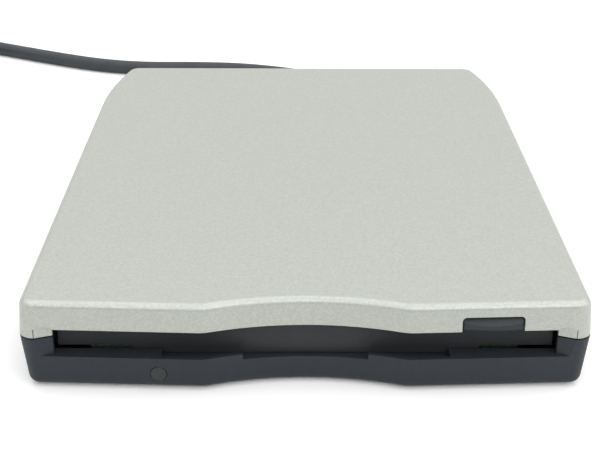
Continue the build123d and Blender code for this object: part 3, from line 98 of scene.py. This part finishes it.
class Finish:
    """A material whose colour, gloss and relief follow patterns on the piece's own coordinates."""

    def __init__(self, name, tone, rough, metal=0.0):
        self.material = bpy.data.materials.new(name)
        self.material.use_nodes = True
        self.tree = self.material.node_tree
        self.shader = self.tree.nodes["Principled BSDF"]
        self.put("Base Color", (*tone, 1.0))
        self.put("Roughness", rough)
        self.put("Metallic", metal)
        self.tone = tone
        self.place = self.tree.nodes.new("ShaderNodeTexCoord").outputs["Object"]

    def put(self, socket, value):
        self.shader.inputs[socket].default_value = value

    def node(self, kind, **settings):
        made = self.tree.nodes.new(kind)
        for key, value in settings.items():
            setattr(made, key, value)
        return made

    def link(self, out, to):
        self.tree.links.new(out, to)

    def stretched(self, factors):
        """The piece's coordinates, drawn out by a factor on each axis."""
        mapping = self.node("ShaderNodeMapping")
        mapping.inputs["Scale"].default_value = factors
        self.link(self.place, mapping.inputs["Vector"])
        return mapping.outputs["Vector"]

    def noise(self, scale, detail=3.0, stretch=None):
        cloud = self.node("ShaderNodeTexNoise")
        cloud.inputs["Scale"].default_value = scale
        cloud.inputs["Detail"].default_value = detail
        self.link(self.stretched(stretch) if stretch else self.place, cloud.inputs["Vector"])
        return cloud.outputs["Fac"]

    def flakes(self, scale):
        """One random grey for each small cell."""
        cells = self.node("ShaderNodeTexVoronoi")
        cells.inputs["Scale"].default_value = scale
        self.link(self.place, cells.inputs["Vector"])
        grey = self.node("ShaderNodeSeparateColor")
        self.link(cells.outputs["Color"], grey.inputs["Color"])
        return grey.outputs["Red"]

    def lines(self, pitch, axis, distortion=0.0):
        """Even bands across one axis, pitch metres apart: the texture has 10 / pi to a metre."""
        wave = self.node("ShaderNodeTexWave", bands_direction=axis)
        wave.inputs["Scale"].default_value = math.pi / (10.0 * pitch)
        wave.inputs["Distortion"].default_value = distortion
        self.link(self.place, wave.inputs["Vector"])
        return wave.outputs["Fac"]

    def span(self, fac, low, high, start=0.0, stop=1.0):
        ramp = self.node("ShaderNodeMapRange")
        set_span(ramp, start, stop, low, high)
        self.link(fac, ramp.inputs["Value"])
        return ramp.outputs["Result"]

    def tint(self, fac, low, high, start=0.3, stop=0.7):
        """Colour runs from low to high as the pattern does."""
        mix = self.node("ShaderNodeMix", data_type="RGBA")
        mix.inputs["A"].default_value = (*low, 1.0)
        mix.inputs["B"].default_value = (*high, 1.0)
        self.link(self.span(fac, 0.0, 1.0, start, stop), mix.inputs["Factor"])
        self.link(mix.outputs["Result"], self.shader.inputs["Base Color"])
        return self

    def shade(self, fac, share, start=0.3, stop=0.7):
        """Colour varies by a share of the finish's own tone."""
        low = [c * (1.0 - share) for c in self.tone]
        high = [min(1.0, c * (1.0 + share)) for c in self.tone]
        return self.tint(fac, low, high, start, stop)

    def gloss(self, fac, low, high):
        self.link(self.span(fac, low, high, 0.3, 0.7), self.shader.inputs["Roughness"])
        return self

    def relief(self, fac, depth, strength=1.0):
        """The pattern stands up by depth metres."""
        bump = self.node("ShaderNodeBump")
        bump.inputs["Strength"].default_value = strength
        bump.inputs["Distance"].default_value = depth
        self.link(fac, bump.inputs["Height"])
        self.link(bump.outputs["Normal"], self.shader.inputs["Normal"])
        return self


def painted_seam_shade(paint, across, top, front, half):
    """Painted shade: dark hairlines in a finish, upright on the front, standing for the shadow in
    the creases of the parting lines: |x| within half of across, z under top, y ahead of front."""
    split = paint.node("ShaderNodeSeparateXYZ")
    paint.link(paint.place, split.inputs[0])
    x, y, z = split.outputs

    def maths(operation, value, by=None):
        sum_of = paint.node("ShaderNodeMath", operation=operation)
        paint.link(value, sum_of.inputs[0])
        if isinstance(by, float):
            sum_of.inputs[1].default_value = by
        elif by:
            paint.link(by, sum_of.inputs[1])
        return sum_of.outputs[0]

    off_line = maths("ABSOLUTE", maths("SUBTRACT", maths("ABSOLUTE", x), across))
    on_line = maths("LESS_THAN", off_line, half)
    low_enough = maths("MULTIPLY", on_line, maths("LESS_THAN", z, top))
    on_front = maths("MULTIPLY", low_enough, maths("LESS_THAN", y, front))
    # painted shade: near-black mixed over the paint along the lines, for the shadow in their
    # creases
    line = paint.node("ShaderNodeMix", data_type="RGBA")
    paint.link(on_front, line.inputs["Factor"])
    paint.link(paint.shader.inputs["Base Color"].links[0].from_socket, line.inputs["A"])
    line.inputs["B"].default_value = (0.02, 0.02, 0.02, 1.0)
    paint.link(line.outputs["Result"], paint.shader.inputs["Base Color"])


def silver_paint():
    """Champagne silver lacquer over fine metal flake, with painted shade as dark hairlines along
    the cover's parting lines.
    """
    paint = Finish("silver_paint", (0.405, 0.425, 0.385), 0.42, metal=0.45)
    flake = paint.flakes(3600.0)
    paint.shade(flake, 0.085, 0.0, 1.0)
    # painted shade: near-black hairlines along the front parting lines, where shadow falls in the
    # creases
    painted_seam_shade(paint, across=0.0490, top=0.0127, front=-0.06, half=0.00008)
    paint.gloss(paint.noise(900.0), 0.38, 0.48)
    paint.relief(flake, 0.000004, 0.8)
    paint.put("Coat Weight", 0.25)
    paint.put("Coat Roughness", 0.3)
    return paint


def moulded_plastic(name, tone, rough, grain=1500.0, depth=0.000025):
    """Spark-textured moulding: fine matt grain, with faint flow marks in the colour."""
    plastic = Finish(name, tone, rough)
    plastic.put("Specular IOR Level", 0.3)
    plastic.shade(plastic.noise(60.0, 4.0), 0.06)
    plastic.gloss(plastic.noise(grain * 0.5), rough - 0.05, rough + 0.07)
    plastic.relief(plastic.noise(grain, 2.0), depth)
    return plastic


def smoked_lens():
    """Tinted clear plastic over the lamp, with painted shade as a black ring where it meets its
    hole, its gloss in streaks.
    """
    lens = Finish("lens_plastic", (0.034, 0.041, 0.038), 0.12)
    low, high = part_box("led_lens")
    out = lens.node("ShaderNodeVectorMath", operation="DISTANCE")
    lens.link(lens.stretched((1.0, 0.0, 1.0)), out.inputs[0])
    out.inputs[1].default_value = ((low[0] + high[0]) / 2.0, 0.0, (low[2] + high[2]) / 2.0)
    # painted shade: the colour turns near black towards the rim, for the shadow in the gap round
    # the lens
    lens.tint(out.outputs["Value"], lens.tone, (0.004, 0.004, 0.004), 0.00132, 0.00148)
    lens.gloss(lens.noise(500.0, 3.0, (4.0, 1.0, 0.5)), 0.10, 0.30)
    lens.put("Transmission Weight", 0.2)
    lens.put("Specular IOR Level", 0.3)
    return lens


def sheet_steel(name, tone, rough, direction, depth=0.000004):
    """Rolled steel, its grain drawn along one axis."""
    steel = Finish(name, tone, rough, metal=1.0)
    grain = steel.noise(900.0, 3.0, direction)
    steel.shade(grain, 0.08)
    steel.gloss(grain, rough - 0.06, rough + 0.1)
    steel.relief(grain, depth)
    return steel


def spangled_zinc():
    """Zinc plating with its crystal spangle."""
    zinc = Finish("zinc_steel", (0.60, 0.60, 0.58), 0.36, metal=1.0)
    spangle = zinc.flakes(260.0)
    zinc.shade(spangle, 0.10, 0.0, 1.0)
    zinc.gloss(spangle, 0.30, 0.44)
    zinc.relief(zinc.noise(1400.0), 0.000003)
    return zinc


def wound_copper():
    """Enamelled wire laid turn on turn."""
    copper = Finish("copper_coils", (0.62, 0.26, 0.11), 0.3, metal=0.9)
    turns = copper.lines(0.00025, "Z")
    copper.shade(turns, 0.3)
    copper.relief(turns, 0.00008)
    copper.put("Coat Weight", 0.5)
    return copper


def board_laminate():
    """Green solder mask with tracks showing through as low ridges."""
    board = Finish("board_green", (0.009, 0.07, 0.028), 0.35)
    tracks = board.lines(0.0016, "X", 6.0)
    board.tint(tracks, (0.007, 0.055, 0.022), (0.016, 0.10, 0.038), 0.4, 0.6)
    board.relief(tracks, 0.00003)
    board.put("Coat Weight", 0.3)
    return board


def film_conductors():
    """Flat ribbon with its conductors side by side."""
    film = Finish("ribbon_film", (0.46, 0.47, 0.48), 0.45)
    wires = film.lines(0.001, "X")
    film.shade(wires, 0.25)
    film.relief(wires, 0.00012)
    return film


def cord_jacket():
    """Slate sheath of soft PVC, faintly grained, with a little dust in its gloss."""
    jacket = Finish("cord_jacket", (0.038, 0.044, 0.050), 0.5)
    jacket.put("Specular IOR Level", 0.35)
    jacket.shade(jacket.noise(180.0, 5.0), 0.10)
    jacket.gloss(jacket.noise(500.0), 0.42, 0.56)
    jacket.relief(jacket.noise(2200.0, 2.0), 0.00002)
    return jacket


def mottled(name, tone, rough, metal=0.0, scale=900.0, share=0.08, depth=0.00001):
    """A plain surface with fine variation in colour, gloss and relief."""
    plain = Finish(name, tone, rough, metal)
    plain.shade(plain.noise(scale * 0.2, 4.0), share)
    plain.gloss(plain.noise(scale * 0.5), max(0.05, rough - 0.06), rough + 0.08)
    plain.relief(plain.noise(scale, 2.0), depth)
    return plain


finishes = {
    "silver_paint": silver_paint(),
    "dark_plastic": moulded_plastic("dark_plastic", (0.021, 0.026, 0.032), 0.52),
    "door_plastic": moulded_plastic("door_plastic", (0.026, 0.028, 0.031), 0.5),
    "button_plastic": moulded_plastic("button_plastic", (0.019, 0.025, 0.030), 0.36,
                                      grain=1800.0, depth=0.000015),
    "inner_plastic": moulded_plastic("inner_plastic", (0.05, 0.05, 0.052), 0.55, 1200.0),
    "socket_plastic": moulded_plastic("socket_plastic", (0.025, 0.025, 0.027), 0.45, 1200.0),
    "foot_rubber": mottled("foot_rubber", (0.022, 0.022, 0.022), 0.8, scale=1600.0, depth=0.00004),
    "screw_steel": sheet_steel("screw_steel", (0.20, 0.20, 0.21), 0.38, (1.0, 1.0, 0.2)),
    "zinc_steel": spangled_zinc(),
    "bearing_brass": mottled("bearing_brass", (0.66, 0.46, 0.22), 0.35, 1.0, 2500.0, 0.12),
    "copper_coils": wound_copper(),
    "bright_steel": sheet_steel("bright_steel", (0.62, 0.62, 0.62), 0.28, (1.0, 0.06, 1.0)),
    "ferrite": mottled("ferrite", (0.06, 0.06, 0.062), 0.55, 0.3, 1500.0, 0.15, 0.00003),
    "spring_steel": sheet_steel("spring_steel", (0.48, 0.48, 0.49), 0.3, (0.1, 1.0, 1.0)),
    "lens_plastic": smoked_lens(),
    "led_resin": mottled("led_resin", (0.55, 0.60, 0.50), 0.15, scale=500.0),
    "board_green": board_laminate(),
    "chip_resin": mottled("chip_resin", (0.022, 0.022, 0.024), 0.6, scale=2000.0, depth=0.00002),
    "ribbon_film": film_conductors(),
    "head_ceramic": mottled("head_ceramic", (0.10, 0.10, 0.11), 0.18, scale=800.0),
    "cord_jacket": cord_jacket(),
    "wire_pvc": mottled("wire_pvc", (0.45, 0.05, 0.04), 0.4, scale=900.0),
    "plug_nickel": sheet_steel("plug_nickel", (0.46, 0.455, 0.44), 0.27, (1.0, 0.08, 1.0)),
}


def dress_frame():
    """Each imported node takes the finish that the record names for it."""
    for part in frame["record"]["subparts"]:
        mesh = nodes[part["node"]].data
        mesh.materials.clear()
        mesh.materials.append(finishes[part["material_slot"]].material)


dress_frame()


# ---------------------------------------------------------------- small pieces
SPRING_WIRE_R = 0.00015
GLAND_X, GLAND_HEIGHT = 0.010, 0.007


def surface(name, grids, slot, body, *replaced):
    """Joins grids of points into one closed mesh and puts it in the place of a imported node.
    Each grid runs along its first axis and closes on itself round its second, and its two end
    rings are shut by a fan to their middles."""
    verts, quads, fans, start = [], [], [], 0
    for grid in grids:
        rows, around = grid.shape[:2]
        ring = start + np.arange(rows * around).reshape(rows, around)
        onward = np.roll(ring, -1, axis=1)
        quad = np.stack((ring[:-1], onward[:-1], onward[1:], ring[1:]), axis=-1)
        quads.append(quad.reshape(-1, 4))
        first, last = start + rows * around + np.arange(2)
        fans.append(np.stack((ring[0], np.full(around, first), onward[0]), axis=-1))
        fans.append(np.stack((onward[-1], np.full(around, last), ring[-1]), axis=-1))
        verts += [grid.reshape(-1, 3), grid[0].mean(axis=0)[None], grid[-1].mean(axis=0)[None]]
        start += rows * around + 2
    faces = np.concatenate(quads).tolist() + np.concatenate(fans).tolist()
    mesh = bpy.data.meshes.new(name)
    mesh.from_pydata(np.concatenate(verts).tolist(), [], faces)
    mesh.polygons.foreach_set("use_smooth", np.ones(len(mesh.polygons), dtype=bool))
    mesh.materials.append(finishes[slot].material)
    piece = bpy.data.objects.new(name, mesh)
    bpy.context.scene.collection.objects.link(piece)
    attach(piece, body)
    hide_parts(*replaced)
    return piece


def wound_wire(start, along, across, length, mean_r, turns, steps=28, sides=10):
    """Round wire on a helix. Its centre is at start + along * rise + mean_r * (cos a, sin a) in the
    plane square to the axis, with a = 2 pi turns t. The rise is two wire radii in each end turn, so
    that the end turns lie closed, and even between them. The section is a circle of the wire's
    radius about that centre, square to the helix."""
    start, along, across = (np.array(v, dtype=float) for v in (start, along, across))
    turn = np.linspace(0.0, turns, turns * steps + 1)
    angle = 2.0 * math.pi * turn
    rise = SPRING_WIRE_R * np.interp(turn, (0, 1, turns - 1, turns), (1, 3, -3, -1))
    rise += length * np.interp(turn, (0, 1, turns - 1, turns), (0, 0, 1, 1))
    radial = np.cos(angle)[:, None] * across + np.sin(angle)[:, None] * np.cross(along, across)
    centre = start + rise[:, None] * along + mean_r * radial
    tangent = np.gradient(centre, axis=0)
    tangent /= np.linalg.norm(tangent, axis=1)[:, None]
    side = np.cross(tangent, radial)
    section = np.linspace(0.0, 2.0 * math.pi, sides, endpoint=False)[None, :, None]
    ring = np.cos(section) * radial[:, None] + np.sin(section) * side[:, None]
    return centre[:, None] + SPRING_WIRE_R * ring


def slider_coils():
    """The pair of springs ahead of the slider."""
    low, high = (np.array(corner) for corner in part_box("slider_springs"))
    length = high[1] - low[1]
    mean_r = (high[2] - low[2]) / 2.0 - SPRING_WIRE_R
    height = (low[2] + high[2]) / 2.0
    coils = [wound_wire((x, low[1], height), (0, 1, 0), (1, 0, 0), length, mean_r, turns=12)
             for x in (low[0] + mean_r + SPRING_WIRE_R, high[0] - mean_r - SPRING_WIRE_R)]
    piece = surface("slider_coils", coils, "spring_steel", "housing", "slider_springs")
    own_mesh(piece)


def door_coil():
    """The spring on the end of the door's pin."""
    low, high = (np.array(corner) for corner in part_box("door_spring"))
    mean_r = (high[2] - low[2]) / 2.0 - SPRING_WIRE_R
    start = (low[0], (low[1] + high[1]) / 2.0, (low[2] + high[2]) / 2.0)
    coil = wound_wire(start, (1, 0, 0), (0, 1, 0), high[0] - low[0], mean_r, turns=5)
    surface("door_coil", [coil], "spring_steel", "housing", "door_spring")


def strain_relief():
    """Moulded boot where the lead leaves the back: flange, neck, and a taper with five rounded
    grooves, turned about the lead's axis. Over the grooves the radius is the taper's, less the
    groove's depth times the square of (1 - cos(2 pi n)) / 2, where n counts the grooves."""
    grooves, depth = 5, 0.00035
    y = np.linspace(0.070, 0.080, 121)
    count = grooves * np.clip((y - 0.0712) / 0.0078, 0.0, 1.0)
    radius = np.interp(y, (0.070, 0.080), (0.0036, 0.0025))
    radius -= depth * (0.5 - 0.5 * np.cos(2.0 * math.pi * count)) ** 2
    y = np.concatenate(((0.0662, 0.0662, 0.0674, 0.0674, 0.0700), y))[:, None]
    radius = np.concatenate(((0.0040, 0.0042, 0.0042, 0.0030, 0.0030), radius))[:, None]
    around = np.linspace(0.0, 2.0 * math.pi, 48, endpoint=False)
    grid = np.stack(np.broadcast_arrays(GLAND_X + radius * np.sin(around), y,
                                        GLAND_HEIGHT + radius * np.cos(around)), axis=-1)
    return surface("strain_relief", [grid], "dark_plastic", "housing", "cord_gland")


slider_coils()
door_coil()
boot = strain_relief()


# ---------------------------------------------------------------- lead
CORD_RADIUS = 0.0021
COIL_CENTRE = np.array((-0.138, 0.131))
COIL_START = 65.0  # degrees from +X, where the run meets the coil
COIL_SCALE = 985.0  # millimetres to metres, and 1.5 % more because the curve cuts its corners


def coil_turns():
    """Two rounds of the coil and a third of another: a circle whose radius steps inwards
    for the second round, climbs one cord, and steps out again over the first."""
    angle = np.linspace(0.0, 1195.0, 60)
    radius = np.interp(angle, (0, 300, 360, 840, 900, 1195),
                       (25.1, 25.1, 20.9, 20.9, 25.1, 25.1)) / COIL_SCALE
    height = np.interp(angle, (0, 540, 600, 1195), (2.15, 2.15, 6.35, 6.35)) / 1000.0
    around = np.radians(COIL_START + angle)
    return np.stack((COIL_CENTRE[0] + radius * np.cos(around),
                     COIL_CENTRE[1] + radius * np.sin(around), height), axis=1)


def captive_lead():
    """The lead leaves the back, drops to the floor, bends round to the left and is coiled."""
    run = np.array(((10, 80, 7), (10, 89.5, 7), (7.2, 100, 4.6), (0.5, 108.9, 2.6),
                    (-9.2, 114.3, 2.15), (-20.5, 117.4, 2.15), (-35, 118.3, 2.15),
                    (-51, 118, 2.15), (-65, 121.4, 2.15), (-79, 127.9, 2.15),
                    (-94, 135.8, 2.15), (-111.5, 145.3, 2.15))) / 1000.0
    tail = np.array(((-163.1, 120, 6.35), (-163.1, 109, 4), (-163.1, 101, 4))) / 1000.0
    route = np.concatenate((run, coil_turns(), tail))
    curve = bpy.data.curves.new("lead", "CURVE")
    curve.dimensions = "3D"
    curve.bevel_depth = CORD_RADIUS
    curve.bevel_resolution = 5
    curve.use_fill_caps = True
    curve.resolution_u = 8
    line = curve.splines.new("NURBS")
    line.points.add(len(route) - 1)
    line.points.foreach_set("co", np.c_[route, np.ones(len(route))].ravel())
    line.order_u = 3
    line.use_endpoint_u = True
    lead = bpy.data.objects.new("lead", curve)
    lead.data.materials.append(finishes["cord_jacket"].material)
    bpy.context.scene.collection.objects.link(lead)
    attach(lead, "housing")
    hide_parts("lead_cord", "lead_coil", "lead_tail")
    return lead


captive_lead()


# ---------------------------------------------------------------- studio
FLOOR_REACH = 2.0  # metres from the middle to each side
PAPER_LIFT = 0.08  # the floor's own glow, as the lens sees it
PAPER_FADE = (0.3, 0.7)  # distances from the middle over which the floor turns plain white
ROOM_LIGHT = 0.30  # what matt surfaces get from all round
NEAR_SIDE = 0.4  # the wall behind the lens, as gloss sees it
NEAR_FADE = (-0.95, -0.45)  # the Y of a direction, from all near side to all wall


def make_all(tree, *kinds):
    """One new shader node of each kind."""
    return [tree.nodes.new("ShaderNode" + kind) for kind in kinds]


def tell_ray(tree, *kinds):
    """1 for rays of the kinds named, 0 for the others."""
    path = tree.nodes.new("ShaderNodeLightPath")
    total = path.outputs[kinds[0]]
    for kind in kinds[1:]:
        most = tree.nodes.new("ShaderNodeMath")
        most.operation = "MAXIMUM"
        tree.links.new(total, most.inputs[0])
        tree.links.new(path.outputs[kind], most.inputs[1])
        total = most.outputs[0]
    return total


def pick(tree, mix, factor, off, on):
    """Has a Mix Shader node give the shader off where factor is 0 and on where it is 1."""
    for source, socket in zip((factor, off.outputs[0], on.outputs[0]), mix.inputs):
        tree.links.new(source, socket)


def pale_floor():
    """Matt pale floor, white paper with a faint glow of its own to the lens and to gloss: it keeps
    the drive's shadow, and past the lamps' reach it fades to plain white."""
    mesh = bpy.data.meshes.new("floor")
    end = FLOOR_REACH
    corners = [(-end, -end, 0.0), (end, -end, 0.0), (end, end, 0.0), (-end, end, 0.0)]
    mesh.from_pydata(corners, [], [(0, 1, 2, 3)])
    floor = bpy.data.objects.new("floor", mesh)
    bpy.context.scene.collection.objects.link(floor)
    paper = bpy.data.materials.new("floor_paper")
    paper.use_nodes = True
    tree = paper.node_tree
    tree.nodes.clear()
    join = tree.links.new
    matt, white, lift, glow = make_all(tree, "BsdfDiffuse", "BsdfDiffuse", "Emission", "Emission")
    matt.inputs["Color"].default_value = (0.8, 0.8, 0.8, 1.0)
    white.inputs["Color"].default_value = (1.0, 1.0, 1.0, 1.0)
    lift.inputs["Strength"].default_value = PAPER_LIFT
    place, reach, far = make_all(tree, "TexCoord", "VectorMath", "MapRange")
    reach.operation = "LENGTH"
    join(place.outputs["Object"], reach.inputs[0])
    join(reach.outputs["Value"], far.inputs["Value"])
    set_span(far, *PAPER_FADE, 0.0, 1.0)
    lifted, fade, seen = make_all(tree, "AddShader", "MixShader", "MixShader")
    join(white.outputs[0], lifted.inputs[0])
    join(lift.outputs[0], lifted.inputs[1])
    pick(tree, fade, far.outputs["Result"], lifted, glow)
    seen_rays = tell_ray(tree, "Is Camera Ray", "Is Glossy Ray", "Is Transmission Ray")
    pick(tree, seen, seen_rays, matt, fade)
    out, = make_all(tree, "OutputMaterial")
    join(seen.outputs[0], out.inputs["Surface"])
    mesh.materials.append(paper)


def white_room():
    """White to the lens, white with a dimmer near side to gloss, and an even plain light to matt
    surfaces."""
    world = bpy.data.worlds.new("room")
    bpy.context.scene.world = world
    world.use_nodes = True
    tree = world.node_tree
    tree.nodes.clear()
    join = tree.links.new
    plain, wall, white = make_all(tree, "Background", "Background", "Background")
    for light, level in ((plain, ROOM_LIGHT), (wall, 1.0), (white, 1.0)):
        light.inputs["Color"].default_value = (1.0, 1.0, 1.0, 1.0)
        light.inputs["Strength"].default_value = level
    direction, split, dim = make_all(tree, "TexCoord", "SeparateXYZ", "MapRange")
    join(direction.outputs["Generated"], split.inputs[0])
    join(split.outputs["Y"], dim.inputs["Value"])
    set_span(dim, *NEAR_FADE, NEAR_SIDE, 1.0)
    join(dim.outputs["Result"], wall.inputs["Strength"])
    in_gloss, in_view, out = make_all(tree, "MixShader", "MixShader", "OutputWorld")
    pick(tree, in_gloss, tell_ray(tree, "Is Glossy Ray", "Is Transmission Ray"), plain, wall)
    pick(tree, in_view, tell_ray(tree, "Is Camera Ray"), in_gloss, white)
    join(in_view.outputs[0], out.inputs["Surface"])


def soft_box(name, place, target, width, height, watts):
    """An area lamp that faces a point."""
    lamp = bpy.data.lights.new(name, "AREA")
    lamp.shape = "RECTANGLE"
    lamp.size, lamp.size_y, lamp.energy = width, height, watts
    box = bpy.data.objects.new(name, lamp)
    box.location = place
    aim = Vector(target) - Vector(place)
    box.rotation_euler = aim.to_track_quat("-Z", "Y").to_euler()
    bpy.context.scene.collection.objects.link(box)


pale_floor()
white_room()
soft_box("front_box", (0.14, -0.72, 0.54), (0.0, -0.05, 0.02), 1.1, 0.25, 3.1)
soft_box("left_box", (-0.90, -0.20, 0.40), (0.0, 0.0, 0.0), 1.0, 0.8, 1.2)
soft_box("right_box", (0.90, -0.20, 0.42), (0.0, 0.0, 0.0), 1.0, 0.8, 2.4)
soft_box("ceiling", (0.1, 0.1, 1.0), (0.1, 0.1, 0.0), 2.0, 2.0, 15.7)
